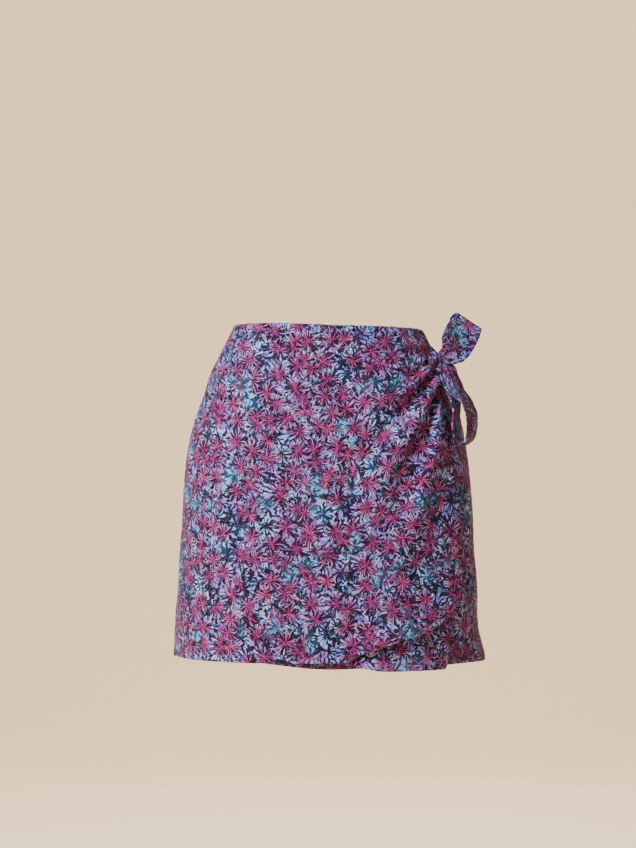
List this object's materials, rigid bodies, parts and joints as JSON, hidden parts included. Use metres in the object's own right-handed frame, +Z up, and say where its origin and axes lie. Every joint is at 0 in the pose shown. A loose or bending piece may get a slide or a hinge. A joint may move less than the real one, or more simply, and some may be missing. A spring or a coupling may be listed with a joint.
{
  "type": "floral wrap skirt",
  "caption": "Short wrap-front skirt of floral printed cloth: overlapping front with a rising, rounded hem corner, and a side tie with a loop and a free end.",
  "frame": {"origin": "middle of the waist opening, at the height of the waist edge, where the wearer's waist holds the skirt", "axes": "+Z up along the wearer, -Y the wearer's front, +X the wearer's left, where the tie is"},
  "size_m": [0.3997, 0.2616, 0.4673],
  "materials": {
    "printed_cloth": "matt crinkled weave with an all-over print of spiky flowers in magenta, coral, lavender and sky blue on a dark plum ground",
    "printed_strap": "the same printed cloth, doubled"
  },
  "bodies": {
    "root": {"front_outer": "printed_cloth", "front_under": "printed_cloth", "back_panel": "printed_cloth", "tie_back_strap": "printed_strap", "tie_knot": "printed_strap", "tie_upper_end": "printed_strap", "tie_lower_loop": "printed_strap"}
  },
  "joints": []
}
